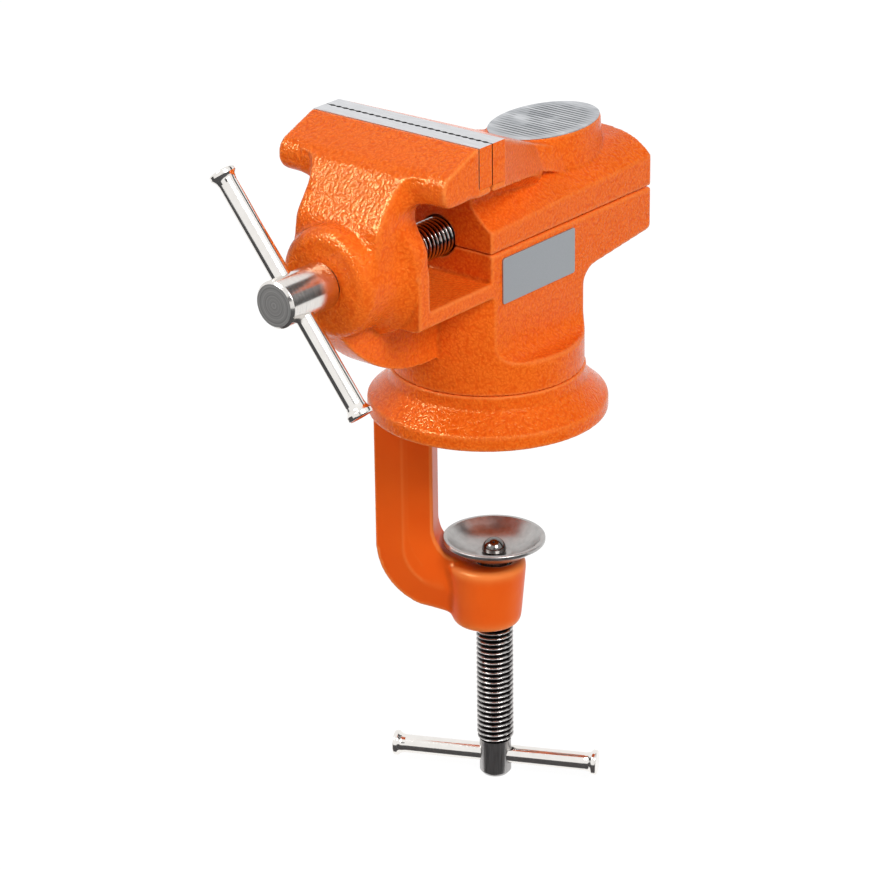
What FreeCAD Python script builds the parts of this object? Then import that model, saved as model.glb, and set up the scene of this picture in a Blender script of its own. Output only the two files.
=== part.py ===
import FreeCAD, Part
import math
import os

# Mini bench vise on a swivel base that clamps to the edge of a bench, in millimetres.
# The origin is on the swivel axis, in the face that rests on the bench. +Z is up,
# -Y is the end with the main handle and +X is the side with the label plate.
# The front jaw is cast in one with the body, and the rear jaw slides towards +Y to open.
# The jaws are drawn almost closed, and the bench clamp is drawn fully open.

# Jaw plates and jaw heads
jaw_width = 63.5
plate_height = 12.7
plate_thickness = 5.6
jaw_gap = 0.4
jaw_gap_y = -36.8
plate_ledge = 2.3
ledge_setback = 0.3
head_above_screw = 38.9
head_nose_length = 16.3
head_slope_drop = 6.2
head_land = 1.0
head_nose_edge = 5.0
head_under_edge = 4.0
ledge_edge = 0.8
tooth_pitch = 2.54
tooth_depth = 0.5
tooth_margin = 1.27

# Screws that hold the jaw plates
plate_screw_spacing = 38.0
plate_screw_radius = 2.5
plate_screw_length = 12.0
plate_screw_head_radius = 4.6
plate_screw_sink = 0.8
plate_screw_slot = 1.2
plate_hole_room = 1.0

# Body that carries the front jaw
body_half_width = 20.9
body_length = 80.6
body_front_y = -23.5
tray_under_z = 47.2
floor_thickness = 5.0
window_length = 29.0
wall_thickness = 5.0
wall_drop = 0.7
neck_half_width = 16.2
neck_corner = 6.0
neck_flare = 12.0
neck_root = 5.0
neck_foot_setback = 6.5
neck_foot_edge = 5.0
neck_slope_edge = 4.0
shoulder_above_screw = 8.3
shoulder_height = 8.0
shoulder_edge = 8.0
shoulder_top_edge = 4.0
wall_foot_edge = 2.0
front_neck_fillet = 6.0
boss_radius = 17.0
boss_length = 19.0
boss_edge = 4.0
boss_flare = 4.0
rib_half_thickness = 5.0
rib_drum_rise = 1.4
rib_boss_rise = 0.6
rib_boss_setback = 2.3
rib_sag = 0.128
rear_underside_rise = 4.0
rear_underside_fillet = 7.0
rear_end_edge = 1.5
housing_root_depth = 11.0

# Slide between the body and the rear jaw
slide_gap = 0.3
joint_gap = 0.4
joint_chamfer = 0.5
slot_end_wall = 4.5
cavity_wall = 4.2
foot_height = 3.7
lip_thickness = 4.5
lip_reach = 4.9

# Rear jaw
shoulder_front_rise = 6.7
shoulder_rear_rise = 10.0
hollow_inset = 4.7
hollow_rise = 3.6
swell_inset = 4.1
swell_rise = 3.4
knee_inset = 10.9
knee_fall = 0.8
crown_rise = 16.9
crown_front_fall = 1.9
rear_neck_half_width = 12.8
neck_fillet = 9.0
wing_root_y = 8.6
wing_foot_half_width = 15.8
wing_crest_half_width = 11.9
wing_fall = 9.2
wing_length_beside_anvil = 13.4
wing_sink = 4.0
wing_end_inset = 0.8
head_side_inset = 3.6
anvil_half_width = 14.6
anvil_half_length = 22.0
anvil_rear_setback = 6.3
anvil_draft = 1.4
anvil_below_head = 15.9
anvil_edge = 0.6
rear_front_wall = 8.3

# Main screw, its nut, collar and handle
screw_radius = 6.0
thread_pitch = 1.75
thread_depth = 1.07
screw_above_joint = 2.2
running_gap = 0.08
press_gap = 0.02
screw_room = 0.5
screw_head_radius = 7.25
screw_head_length = 21.0
screw_head_gap = 0.3
screw_head_edge = 0.8
screw_tip_y = 50.0
screw_tip_run_out = 2.0
tip_room = 1.5
nut_size = 19.0
nut_length = 16.0
nut_gap = 0.1
collar_radius = 10.0
collar_length = 6.0
collar_edge = 0.8
collar_pin_radius = 1.5
handle_rod_radius = 3.0
handle_angle = 51.0
main_handle_length = 82.0
main_handle_offset = 1.2
main_handle_in_head = 8.4
cap_radius = 4.1
cap_length = 4.0
cap_spigot_radius = 1.9
cap_spigot_length = 2.6
cap_waist = 0.25
cap_waist_share = 0.35
cap_flare_share = 0.62

# Swivel base and bench clamp frame
flange_radius = 37.8
flange_thickness = 5.0
flange_edge = 1.4
flange_land = 1.1
ring_radius = 30.7
base_height = 15.2
ring_foot = 4.2
ring_fillet = 2.0
base_recess_radius = 12.0
base_recess_depth = 9.5
swivel_gap = 0.2
drum_radius = 30.3
drum_height = 10.1
drum_edge = 1.0
pedestal_flare = 5.5
arm_turn = 30.5
arm_outer = 35.8
arm_inner = 17.0
arm_half_thickness = 7.0
arm_outer_bevel = 9.3
arm_outer_bevel_depth = 2.5
arm_inner_bevel = 8.0
arm_inner_bevel_depth = 1.0
arm_outer_bend = 23.0
arm_inner_bend = 12.0
arm_foot_slope = 14.5
arm_corner_depth = 65.3
arm_end_inside_boss = 4.0
arm_inner_rise = 1.5
clamp_boss_centre = -0.85
clamp_boss_top_radius = 13.0
clamp_boss_radius = 11.05
clamp_boss_top_z = -53.0
clamp_boss_height = 22.0
clamp_boss_edge = 2.0
clamp_boss_top_edge = 1.2

# Swivel bolt
bolt_radius = 4.0
bolt_head_across_flats = 13.0
bolt_head_height = 5.3
bolt_length = 30.0
bolt_hole_room = 2.5
washer_radius = 8.0
washer_thickness = 1.6
washer_room = 0.3
spring_washer_radius = 7.4
spring_washer_thickness = 2.0
spring_washer_gap = 1.0

# Bench clamp screw and pad
clamp_axis_offset = 1.7
clamp_screw_radius = 6.0
clamp_thread_length = 63.0
clamp_neck_radius = 4.5
clamp_neck_length = 2.1
clamp_grip_radius = 5.15
clamp_grip_length = 12.6
clamp_grip_edge = 1.2
clamp_rod_drop = 5.8
clamp_handle_angle = 26.0
clamp_handle_length = 68.0
pad_rim_radius = 16.4
pad_rim_z = -45.0
pad_depth = 5.4
pad_sheet = 1.2
pad_hub_radius = 5.6
pad_hole_radius = 3.0
pad_play = 0.7
pad_rim_width = 1.3
pad_rim_edge = 0.4
pad_rim_undercut = 0.9
pad_hub_round = 2.0
pad_bowl_radius = 11.2
pad_bowl_rise = 1.6
pad_bowl_round = 12.0
rivet_dome_radius = 3.9
rivet_stem_radius = 2.25
rivet_stem_length = 8.0

# Label plate
label_length = 35.6
label_height = 14.6
label_thickness = 0.5
label_corner = 0.8
label_below_joint = 2.0
label_front_y = -18.9

# Levels that follow from the sizes above
floor_z = tray_under_z + floor_thickness
lip_under_z = floor_z + slide_gap + foot_height + slide_gap
joint_z = lip_under_z + lip_thickness
rear_under_z = joint_z + joint_gap
screw_z = joint_z + screw_above_joint
top_z = screw_z + head_above_screw
plate_under_z = top_z - plate_height
head_under_z = plate_under_z - plate_ledge
anvil_z = top_z - anvil_below_head
wing_root_under_z = head_under_z - wing_fall

# Stations along the screw
front_seat_y = jaw_gap_y - jaw_gap / 2 - plate_thickness
rear_seat_y = jaw_gap_y + jaw_gap / 2 + plate_thickness
body_rear_y = body_front_y + body_length
window_front_y = body_front_y - window_length
wall_front_y = window_front_y - wall_thickness
boss_face_y = wall_front_y - boss_length
nose_y = front_seat_y - head_nose_length
slot_front_y = body_front_y + slot_end_wall
key_front_y = slot_front_y + slide_gap
nut_front_y = body_front_y + rear_front_wall
head_rear_y = boss_face_y - screw_head_gap
head_front_y = head_rear_y - screw_head_length
handle_y = head_front_y + main_handle_in_head
wing_end_y = wing_root_y + wing_length_beside_anvil

# Widths of the slide
cavity_half_width = body_half_width - cavity_wall
slot_half_width = cavity_half_width - lip_reach
foot_half_width = cavity_half_width - slide_gap
web_half_width = slot_half_width - slide_gap

# Directions of the turned pieces
up = FreeCAD.Vector(0, 0, 1)
along_screw = FreeCAD.Vector(0, 1, 0)
handle_direction = FreeCAD.Vector(
    math.cos(math.radians(handle_angle)), 0, -math.sin(math.radians(handle_angle))
)
clamp_handle_direction = FreeCAD.Vector(
    math.cos(math.radians(clamp_handle_angle)), math.sin(math.radians(clamp_handle_angle)), 0
)
arm_direction = FreeCAD.Vector(
    math.cos(math.radians(arm_turn)), math.sin(math.radians(arm_turn)), 0
)
screw_axis_point = FreeCAD.Vector(0, 0, screw_z)
clamp_axis_point = arm_direction * clamp_axis_offset


def vector(x, y, z):
    return FreeCAD.Vector(x, y, z)


def write(name, solids):
    """Write one piece, or a group of equal pieces, to its own file."""
    shape = solids[0] if len(solids) == 1 else Part.makeCompound(solids)
    shape.exportStep(f"parts/{name}.step")


def outline(corners, place):
    """Closed face through corners (a, b) or (a, b, rounding), set in space by place."""
    points = [vector(corner[0], corner[1], 0) for corner in corners]
    edges = []
    starts = []
    ends = []
    for index, corner in enumerate(corners):
        point = points[index]
        rounding = corner[2] if len(corner) > 2 else 0
        if rounding <= 0:
            starts.append(point)
            ends.append(point)
            continue
        back = (points[index - 1] - point).normalize()
        ahead = (points[(index + 1) % len(points)] - point).normalize()
        half_angle = back.getAngle(ahead) / 2
        inward = (back + ahead).normalize()
        start = point + back * (rounding / math.tan(half_angle))
        end = point + ahead * (rounding / math.tan(half_angle))
        middle = point + inward * (rounding / math.sin(half_angle) - rounding)
        starts.append(start)
        ends.append(end)
        arc = Part.Arc(place(start.x, start.y), place(middle.x, middle.y), place(end.x, end.y))
        edges.append((index, arc.toShape()))
    for index, end in enumerate(ends):
        start = starts[(index + 1) % len(points)]
        if end.distanceToPoint(start) > 1e-6:
            line = Part.makeLine(place(end.x, end.y), place(start.x, start.y))
            edges.append((index + 0.5, line))
    ordered = [edge for _, edge in sorted(edges, key=lambda item: item[0])]
    return Part.Face(Part.Wire(ordered))


def across(corners, x_low, x_high):
    """Solid with a side outline in (y, z), from x_low to x_high."""
    face = outline(corners, lambda y, z: vector(x_low, y, z))
    return face.extrude(vector(x_high - x_low, 0, 0))


def along(corners, y_low, y_high):
    """Solid with an end outline in (x, z), from y_low to y_high."""
    face = outline(corners, lambda x, z: vector(x, y_low, z))
    return face.extrude(vector(0, y_high - y_low, 0))


def upright(corners, z_low, z_high):
    """Solid with a plan outline in (x, y), from z_low to z_high."""
    face = outline(corners, lambda x, y: vector(x, y, z_low))
    return face.extrude(vector(0, 0, z_high - z_low))


def mirrored(half):
    """Corners of a symmetric outline from those on its +x side, bottom to top."""
    return half + [(-corner[0],) + tuple(corner[1:]) for corner in reversed(half)]


def turned(corners, centre, axis):
    """Solid of revolution from corners (radius, height) about an axis through centre."""
    side = axis.cross(vector(0.31, 0.17, 0.94)).normalize()
    face = outline(corners, lambda radius, height: centre + side * radius + axis * height)
    return face.revolve(centre, axis, 360)


def rod(radius, start, axis, length):
    return Part.makeCylinder(radius, length, start, axis)


def block(x_low, x_high, y_low, y_high, z_low, z_high):
    size = (x_high - x_low, y_high - y_low, z_high - z_low)
    return Part.makeBox(*size, vector(x_low, y_low, z_low))


def thread_corners(radius, start, length):
    """Crests and roots of a thread as ring grooves, as (radius, height) corners."""
    turns = int(length / thread_pitch)
    first = start + (length - turns * thread_pitch) / 2
    corners = []
    for turn in range(turns):
        height = first + turn * thread_pitch
        corners.append((radius, height + 0.06 * thread_pitch))
        corners.append((radius - thread_depth, height + 0.44 * thread_pitch))
        corners.append((radius - thread_depth, height + 0.56 * thread_pitch))
        corners.append((radius, height + 0.94 * thread_pitch))
    return corners


def in_arm_plane(t, z):
    return arm_direction * t + up * z


def swept(section_corners, path, path_start, inward):
    """Solid swept along a flat path; its section is in (distance inward, height off plane)."""
    normal = arm_direction.cross(up)
    place = lambda depth, height: path_start + inward * depth + normal * height
    section = outline(section_corners, place).OuterWire
    shell = Part.BRepOffsetAPI.MakePipeShell(path)
    shell.setBiNormalMode(normal)
    shell.add(section)
    shell.build()
    shell.makeSolid()
    return shell.shape()


def swivel_ring():
    """Round foot that rests on the bench, with the ring that the vise turns on."""
    profile = [
        (0, 0),
        (flange_radius, 0, 0.5),
        (flange_radius, flange_thickness, flange_edge),
        (flange_radius - flange_land, flange_thickness + 0.5),
        (ring_radius + 0.2, base_height - ring_foot, ring_fillet),
        (ring_radius, base_height),
        (0, base_height),
    ]
    return turned(profile, vector(0, 0, 0), up)


def arm_foot_z(t):
    """Height of the sloping underside of the arm."""
    return -arm_corner_depth - (t + arm_outer) * math.tan(math.radians(arm_foot_slope))


def clamp_arm():
    """C-shaped arm with bevelled edges, from the foot down to the clamp boss."""
    root_z = flange_thickness / 2
    inner_corner_z = clamp_boss_top_z + arm_inner_rise
    end_t = clamp_boss_centre - arm_end_inside_boss
    corners = [
        (-arm_outer, root_z),
        (-arm_outer, arm_foot_z(-arm_outer), arm_outer_bend),
        (end_t, arm_foot_z(end_t)),
        (end_t, clamp_boss_top_z),
        (-arm_inner, inner_corner_z, arm_inner_bend),
        (-arm_inner, root_z),
    ]
    normal = arm_direction.cross(up)
    face = outline(corners, lambda t, z: in_arm_plane(t, z) - normal * arm_half_thickness)
    arm = face.extrude(normal * (2 * arm_half_thickness))
    flat = outline(corners, in_arm_plane).OuterWire
    edges = Part.sortEdges(flat.Edges)[0]
    outer_path = Part.Wire(edges[0:3])
    inner_path = Part.Wire(edges[4:7])
    outer_start = in_arm_plane(-arm_outer, root_z)
    inner_start = in_arm_plane(end_t, clamp_boss_top_z)
    for side in (-1, 1):
        outer_section = [
            (-1, side * (arm_half_thickness - arm_outer_bevel_depth)),
            (0, side * (arm_half_thickness - arm_outer_bevel_depth)),
            (arm_outer_bevel, side * arm_half_thickness),
            (arm_outer_bevel, side * (arm_half_thickness + 1)),
            (-1, side * (arm_half_thickness + 1)),
        ]
        arm = arm.cut(swept(outer_section, outer_path, outer_start, arm_direction))
        inner_section = [
            (-1, side * (arm_half_thickness - arm_inner_bevel_depth)),
            (0, side * (arm_half_thickness - arm_inner_bevel_depth)),
            (arm_inner_bevel, side * arm_half_thickness),
            (arm_inner_bevel, side * (arm_half_thickness + 1)),
            (-1, side * (arm_half_thickness + 1)),
        ]
        arm = arm.cut(swept(inner_section, inner_path, inner_start, vector(0, 0, -1)))
    return arm


def clamp_boss():
    foot_z = clamp_boss_top_z - clamp_boss_height
    profile = [
        (0, foot_z),
        (clamp_boss_radius, foot_z, clamp_boss_edge),
        (clamp_boss_top_radius, clamp_boss_top_z, clamp_boss_top_edge),
        (0, clamp_boss_top_z),
    ]
    return turned(profile, arm_direction * clamp_boss_centre, up)


def clamp_frame():
    frame = swivel_ring().fuse([clamp_arm(), clamp_boss()])
    recess = rod(base_recess_radius, vector(0, 0, 0), up, base_recess_depth)
    bolt_hole = rod(bolt_radius + running_gap, vector(0, 0, 0), up, base_height)
    screw_hole = rod(
        clamp_screw_radius + running_gap,
        clamp_axis_point + up * (clamp_boss_top_z - clamp_boss_height - 1),
        up,
        clamp_boss_height + 10,
    )
    return frame.cut([recess, bolt_hole, screw_hole]).removeSplitter()


def drum_and_pedestal():
    """Round drum on the swivel ring and the flat-sided pedestal above it."""
    drum_z = base_height + swivel_gap
    drum_top_z = base_height + drum_height + swivel_gap
    drum = turned(
        [(0, drum_z), (drum_radius, drum_z), (drum_radius, drum_top_z, drum_edge), (0, drum_top_z)],
        vector(0, 0, 0),
        up,
    )
    ledge = body_half_width + pedestal_flare + 0.5
    front_view = mirrored([
        (ledge, drum_top_z - 1),
        (ledge, drum_top_z),
        (body_half_width, drum_top_z, pedestal_flare),
        (body_half_width, tray_under_z + 1),
    ])
    pedestal = along(front_view, -drum_radius, drum_radius)
    limit = rod(drum_radius, vector(0, 0, drum_z), up, joint_z - drum_z)
    return [drum, pedestal.common(limit)]


def slide_housing():
    """Long block with the T-slot that the rear jaw runs in."""
    corner_y = math.sqrt(drum_radius ** 2 - body_half_width ** 2)
    root_z = tray_under_z - housing_root_depth
    side_view = [
        (body_front_y, joint_z),
        (body_front_y, tray_under_z),
        (corner_y / 2, root_z),
        (corner_y, root_z),
        (corner_y, tray_under_z - rear_underside_rise, rear_underside_fillet),
        (body_rear_y, tray_under_z, rear_end_edge),
        (body_rear_y, joint_z, 0.6),
    ]
    return across(side_view, -body_half_width, body_half_width)


def front_wall_corners(top):
    """Half of the wall outline in front of the window, from the foot up into the jaw head."""
    spread = neck_half_width + front_neck_fillet + 1
    return [
        (body_half_width, tray_under_z - wall_drop, wall_foot_edge),
        (body_half_width, screw_z + shoulder_above_screw, shoulder_edge),
        (neck_half_width, screw_z + shoulder_above_screw + shoulder_height, shoulder_top_edge),
        (neck_half_width, head_under_z, front_neck_fillet),
        (spread, head_under_z),
        (spread, top),
    ]


def front_neck():
    """Stem that carries on from the slope of the jaw head, down and forward onto the boss."""
    slope_edge_z = top_z - head_slope_drop
    spread = neck_half_width + front_neck_fillet + 1
    side_view = [
        (wall_front_y + 0.5, screw_z),
        (wall_front_y + 0.5, head_under_z + 1),
        (window_front_y, head_under_z + 1),
        (window_front_y, slope_edge_z),
        (nose_y, slope_edge_z, neck_slope_edge),
        (boss_face_y + neck_foot_setback, screw_z + boss_radius, neck_foot_edge),
        (boss_face_y + boss_edge, screw_z),
    ]
    stem = across(side_view, -neck_half_width, neck_half_width)
    front_edges = []
    for edge in stem.Edges:
        ends = [vertex.Point for vertex in edge.Vertexes]
        at_front = all(point.y < nose_y + 1 and point.z > screw_z - 1 for point in ends)
        if at_front and abs(ends[0].x + ends[1].x) > neck_half_width:
            front_edges.append(edge)
    stem = stem.makeFillet(neck_corner, front_edges)
    face_half_width = neck_half_width - neck_corner - 0.4
    flare_top_z = slope_edge_z - 0.5
    flare_view = mirrored([
        (face_half_width, flare_top_z - neck_flare - 1),
        (face_half_width, flare_top_z, neck_flare),
        (face_half_width + neck_flare + 1, flare_top_z),
        (face_half_width + neck_flare + 1, slope_edge_z),
    ])
    root_plan = mirrored([
        (neck_half_width, boss_face_y),
        (neck_half_width, nose_y + 0.5, neck_root),
        (spread, nose_y + 0.5),
        (spread, wall_front_y + 0.5),
    ])
    under_slope = across(side_view, -spread, spread)
    flare = along(flare_view, boss_face_y, window_front_y).common(under_slope)
    wall_shape = along(mirrored(front_wall_corners(slope_edge_z)), boss_face_y, wall_front_y + 0.5)
    root = upright(root_plan, screw_z, slope_edge_z).common(under_slope).common(wall_shape)
    return stem.fuse([flare, root])


def screw_boss():
    profile = [
        (0, boss_face_y),
        (boss_radius, boss_face_y, boss_edge),
        (boss_radius, wall_front_y - boss_flare, boss_flare * 2),
        (boss_radius + boss_flare, wall_front_y),
        (boss_radius + boss_flare, wall_front_y + 1),
        (0, wall_front_y + 1),
    ]
    return turned(profile, screw_axis_point, along_screw)


def keel_rib():
    """Central rib that curves from under the boss back to the drum."""
    boss_end = vector(
        -rib_half_thickness, boss_face_y + rib_boss_setback, screw_z - boss_radius + rib_boss_rise
    )
    drum_top_z = base_height + drum_height + swivel_gap
    drum_end = vector(-rib_half_thickness, -drum_radius, drum_top_z + rib_drum_rise)
    chord = drum_end - boss_end
    sag = vector(0, chord.z, -chord.y).normalize() * (chord.Length * rib_sag)
    middle = boss_end + chord * 0.5 + sag
    curve = Part.Arc(boss_end, middle, drum_end).toShape()
    inner_drum = vector(-rib_half_thickness, -drum_radius + 8, drum_end.z)
    inner_tray = vector(-rib_half_thickness, -drum_radius + 8, tray_under_z + 1)
    boss_inside = vector(-rib_half_thickness, boss_end.y, screw_z - screw_radius - 3)
    points = [drum_end, inner_drum, inner_tray, boss_inside, boss_end]
    lines = [Part.makeLine(a, b) for a, b in zip(points, points[1:])]
    face = Part.Face(Part.Wire([curve] + lines))
    return face.extrude(vector(2 * rib_half_thickness, 0, 0))


def front_head():
    """Front jaw head, with the ledge and the seat for its plate."""
    ledge_y = front_seat_y + plate_thickness - ledge_setback
    side_view = [
        (ledge_y, head_under_z, ledge_edge),
        (ledge_y, plate_under_z),
        (front_seat_y, plate_under_z),
        (front_seat_y, top_z),
        (front_seat_y - head_land, top_z),
        (nose_y, top_z - head_slope_drop, head_nose_edge),
        (nose_y, head_under_z - 0.2, head_under_edge),
    ]
    return across(side_view, -jaw_width / 2, jaw_width / 2)


def plate_screw_points(seat_y):
    middle_z = plate_under_z + plate_height / 2
    return [vector(side * plate_screw_spacing / 2, seat_y, middle_z) for side in (-1, 1)]


def body_casting():
    window_floor = block(
        -body_half_width, body_half_width, window_front_y, body_front_y, tray_under_z, floor_z
    )
    front_wall = along(
        mirrored(front_wall_corners(head_under_z + 2)), wall_front_y, window_front_y
    )
    casting = slide_housing().fuse(
        drum_and_pedestal()
        + [window_floor, front_wall, front_neck(), screw_boss(), keel_rib(), front_head()]
    )
    cavity = block(
        -cavity_half_width, cavity_half_width, slot_front_y, body_rear_y + 1, floor_z, lip_under_z
    )
    slot = block(
        -slot_half_width, slot_half_width, slot_front_y, body_rear_y + 1, floor_z, joint_z + 1
    )
    screw_notch = rod(
        screw_radius + screw_room,
        vector(0, body_front_y - 1, screw_z),
        along_screw,
        slot_end_wall + 2,
    )
    screw_bore = rod(
        screw_radius + running_gap,
        vector(0, boss_face_y - 1, screw_z),
        along_screw,
        boss_length + wall_thickness + 2,
    )
    bolt_reach = bolt_tip_z() + bolt_hole_room
    bolt_hole = rod(bolt_radius + press_gap, vector(0, 0, 0), up, bolt_reach)
    plate_hole_depth = plate_screw_length - plate_thickness + plate_hole_room
    plate_holes = [
        rod(plate_screw_radius + press_gap, point, -along_screw, plate_hole_depth)
        for point in plate_screw_points(front_seat_y)
    ]
    cuts = [cavity, slot, screw_notch, screw_bore, bolt_hole] + plate_holes
    for side in (-1, 1):
        edge = [
            (side * (body_half_width + 1), joint_z + 1),
            (side * (body_half_width + 1), joint_z - joint_chamfer - 1),
            (side * (body_half_width - joint_chamfer - 1), joint_z + 1),
        ]
        cuts.append(along(edge, body_front_y, body_rear_y + 1))
    return casting.cut(cuts).removeSplitter()


def roof_section(y, side_z, bend_x, bend_z, knee_x, knee_z, crown_z):
    """Cross-section of the rear jaw block: flat foot, upright sides and a curved roof."""
    wide = body_half_width
    low = rear_under_z
    foot = [vector(-wide, y, side_z), vector(-wide, y, low), vector(wide, y, low)]
    foot.append(vector(wide, y, side_z))
    edges = [Part.makeLine(a, b) for a, b in zip(foot, foot[1:])]
    right_end = vector(knee_x, y, knee_z)
    left_end = vector(-knee_x, y, knee_z)
    edges.append(Part.Arc(foot[3], vector(bend_x, y, bend_z), right_end).toShape())
    edges.append(Part.Arc(right_end, vector(0, y, crown_z), left_end).toShape())
    edges.append(Part.Arc(left_end, vector(-bend_x, y, bend_z), foot[0]).toShape())
    return Part.Wire(edges)


def rear_block():
    """Sliding block under the anvil; its shoulders swell from hollow to round."""
    front_side = rear_under_z + shoulder_front_rise
    rear_side = rear_under_z + shoulder_rear_rise
    crown_z = rear_under_z + crown_rise
    front = roof_section(
        body_front_y,
        front_side,
        body_half_width - hollow_inset,
        front_side + hollow_rise,
        rear_neck_half_width - 0.5,
        crown_z - crown_front_fall - 0.1,
        crown_z - crown_front_fall,
    )
    rear = roof_section(
        body_rear_y,
        rear_side,
        body_half_width - swell_inset,
        rear_side + swell_rise,
        body_half_width - knee_inset,
        crown_z - knee_fall,
        crown_z,
    )
    return Part.makeLoft([front, rear], True, True)


def rear_head():
    """Rear jaw head: a wedge that narrows and falls from the plate into the sides of the anvil."""
    half_width = jaw_width / 2
    ledge_y = rear_seat_y - plate_thickness + ledge_setback
    ledge = across(
        [
            (ledge_y, head_under_z, ledge_edge),
            (ledge_y, plate_under_z),
            (rear_seat_y, plate_under_z),
            (rear_seat_y, head_under_z),
        ],
        -half_width,
        half_width,
    )
    end_half_width = anvil_half_width - wing_end_inset
    end_low_z = wing_root_under_z - wing_sink
    end_high_z = anvil_z - wing_sink
    sections = [
        (rear_seat_y, half_width, head_under_z, half_width, top_z),
        (wing_root_y, wing_foot_half_width, wing_root_under_z, wing_crest_half_width, anvil_z),
        (wing_end_y, anvil_half_width, end_low_z, end_half_width, end_high_z),
    ]
    rings = []
    for y, low_half_width, low_z, high_half_width, high_z in sections:
        corners = mirrored([(low_half_width, low_z), (high_half_width, high_z)])
        rings.append(outline(corners, lambda x, z: vector(x, y, z)).OuterWire)
    return Part.makeLoft(rings, True, True).fuse(ledge)


def rear_neck():
    """Stem between the sliding block and the jaw head, filleted out under the sloping head."""
    shoulder_z = rear_under_z + shoulder_front_rise
    core = block(
        -rear_neck_half_width,
        rear_neck_half_width,
        body_front_y,
        wing_root_y + 6,
        shoulder_z,
        wing_root_under_z + 0.5,
    )
    spread = rear_neck_half_width + neck_fillet + 1
    fillets = along(
        mirrored([
            (rear_neck_half_width, head_under_z - neck_fillet - 1),
            (rear_neck_half_width, head_under_z, neck_fillet),
            (spread, head_under_z),
            (spread, head_under_z + 1),
        ]),
        rear_seat_y,
        wing_root_y,
    )
    slope = math.atan2(head_under_z - wing_root_under_z, wing_root_y - rear_seat_y)
    fillets.rotate(vector(0, rear_seat_y, head_under_z), vector(1, 0, 0), -math.degrees(slope))
    under_head = upright(
        mirrored([
            (jaw_width / 2 - head_side_inset, body_front_y),
            (wing_foot_half_width, wing_root_y - 1),
        ]),
        shoulder_z,
        top_z,
    )
    return core.fuse(fillets.common(under_head))


def anvil_ring(grow, z):
    """Oval outline of the anvil, grown all round by the casting draft."""
    centre = vector(0, body_rear_y - anvil_rear_setback - anvil_half_length, z)
    oval = Part.Ellipse(centre, anvil_half_length + grow, anvil_half_width + grow)
    edge = oval.toShape()
    edge.rotate(centre, up, 90)
    return Part.Wire([edge])


def anvil():
    foot_z = rear_under_z + shoulder_front_rise
    draft = Part.makeLoft([anvil_ring(anvil_draft, foot_z), anvil_ring(0, anvil_z - anvil_edge)], True)
    land = Part.makeLoft([anvil_ring(0, anvil_z - anvil_edge), anvil_ring(-anvil_edge, anvil_z)], True)
    return draft.fuse(land)


def rear_jaw_casting():
    casting = rear_block().fuse([rear_neck(), rear_head(), anvil()])
    web = block(
        -web_half_width,
        web_half_width,
        key_front_y,
        body_rear_y,
        floor_z + slide_gap,
        rear_under_z + 1,
    )
    foot = block(
        -foot_half_width,
        foot_half_width,
        key_front_y,
        body_rear_y,
        floor_z + slide_gap,
        floor_z + slide_gap + foot_height,
    )
    casting = casting.fuse([web, foot])
    bore = rod(
        screw_radius + screw_room,
        vector(0, body_front_y - 1, screw_z),
        along_screw,
        screw_tip_y + tip_room - body_front_y + 1,
    )
    pocket_half = nut_size / 2 + nut_gap
    pocket = block(
        -pocket_half,
        pocket_half,
        nut_front_y,
        nut_front_y + nut_length + 2 * nut_gap,
        floor_z,
        screw_z + pocket_half,
    )
    plate_hole_depth = plate_screw_length - plate_thickness + plate_hole_room
    plate_holes = [
        rod(plate_screw_radius + press_gap, point, along_screw, plate_hole_depth)
        for point in plate_screw_points(rear_seat_y)
    ]
    cuts = [bore, pocket] + plate_holes
    for side in (-1, 1):
        edge = [
            (side * (body_half_width + 1), rear_under_z - 1),
            (side * (body_half_width + 1), rear_under_z + joint_chamfer + 1),
            (side * (body_half_width - joint_chamfer - 1), rear_under_z - 1),
        ]
        cuts.append(along(edge, body_front_y - 1, body_rear_y + 1))
    return casting.cut(cuts).removeSplitter()


def jaw_plate(seat_y, facing):
    """Steel plate with upright teeth in its gripping face; facing is +1 or -1 along Y."""
    face_y = seat_y + facing * plate_thickness
    half = jaw_width / 2
    corners = [(-half, seat_y), (half, seat_y)]
    count = int((jaw_width - 2 * tooth_margin) / tooth_pitch)
    first = count * tooth_pitch / 2
    corners.append((half, face_y))
    for tooth in range(count):
        x = first - tooth * tooth_pitch
        corners.append((x, face_y))
        corners.append((x - tooth_pitch / 2, face_y - facing * tooth_depth))
    corners.append((-first, face_y))
    corners.append((-half, face_y))
    plate = upright(corners, plate_under_z, top_z)
    holes = []
    for point in plate_screw_points(seat_y):
        axis = along_screw * facing
        holes.append(rod(plate_screw_radius + press_gap, point, axis, plate_thickness))
        rise = plate_screw_head_radius - plate_screw_radius
        head_base = plate_thickness - plate_screw_sink - rise
        cone = Part.makeCone(
            plate_screw_radius + press_gap,
            plate_screw_head_radius + press_gap,
            rise,
            point + axis * head_base,
            axis,
        )
        mouth = rod(
            plate_screw_head_radius + press_gap,
            point + axis * (plate_thickness - plate_screw_sink),
            axis,
            plate_screw_sink + 1,
        )
        holes.extend([cone, mouth])
    return plate.cut(holes)


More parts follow.
